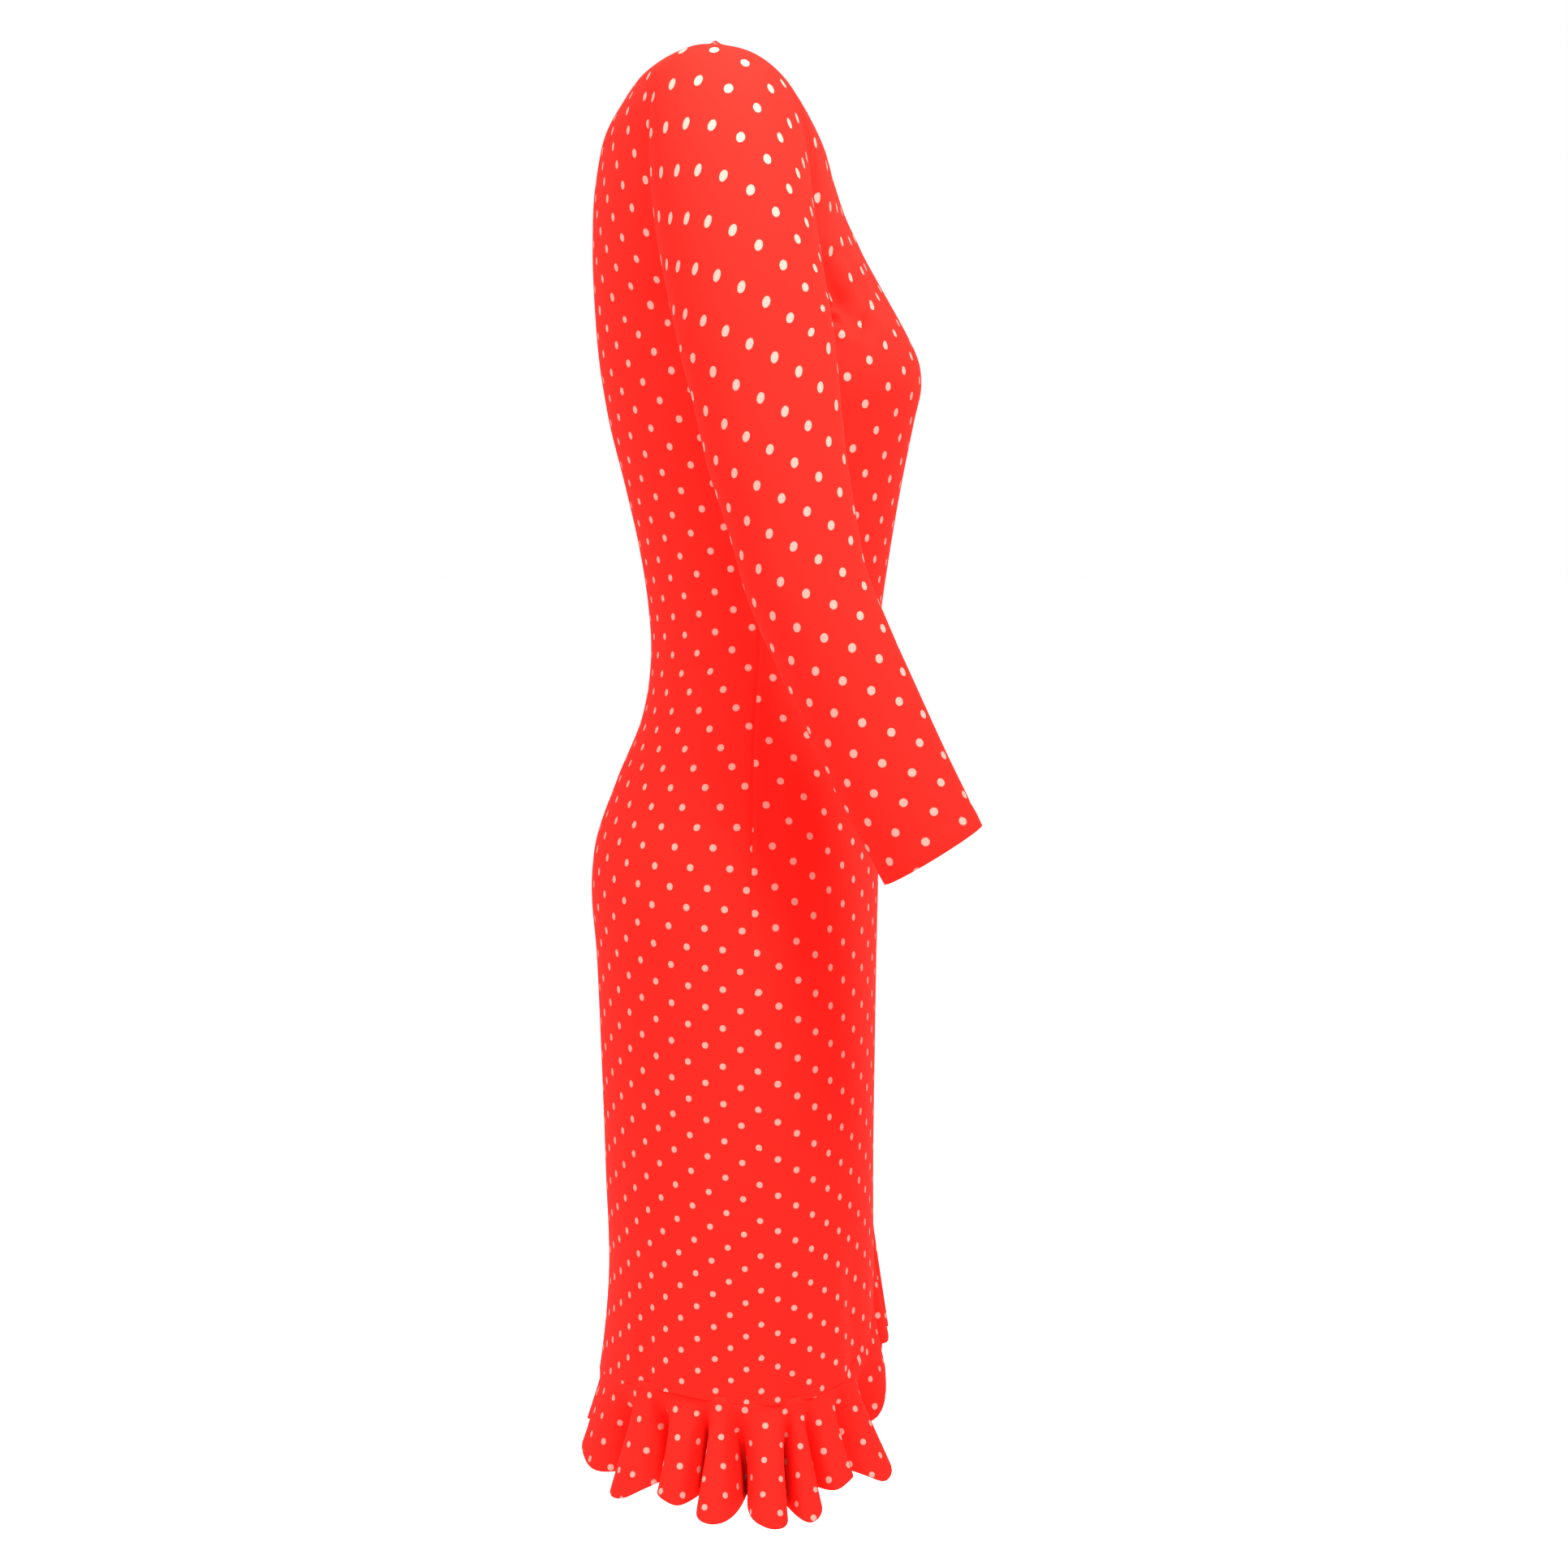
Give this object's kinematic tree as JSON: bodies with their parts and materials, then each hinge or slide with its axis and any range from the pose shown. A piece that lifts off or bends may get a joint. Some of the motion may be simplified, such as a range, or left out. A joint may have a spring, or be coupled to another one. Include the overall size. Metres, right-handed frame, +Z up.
{
  "type": "cocktail dress",
  "caption": "Fitted knee-length dress with long set-in sleeves, V neck and a flounced hem that rises at the front, in red crepe with small cream dots.",
  "frame": {"origin": "midway between the two neck ends of the shoulder seams", "axes": "+Z up, the front of the dress faces -Y, the wearer's right is -X"},
  "size_m": [0.5094, 0.2932, 1.0756],
  "materials": {
    "dotted_crepe": "matt red crepe with small cream dots"
  },
  "bodies": {
    "root": {"body_right": "dotted_crepe", "body_left": "dotted_crepe", "sleeve_right": "dotted_crepe", "sleeve_left": "dotted_crepe", "flounce_right": "dotted_crepe", "flounce_left": "dotted_crepe"}
  },
  "joints": []
}
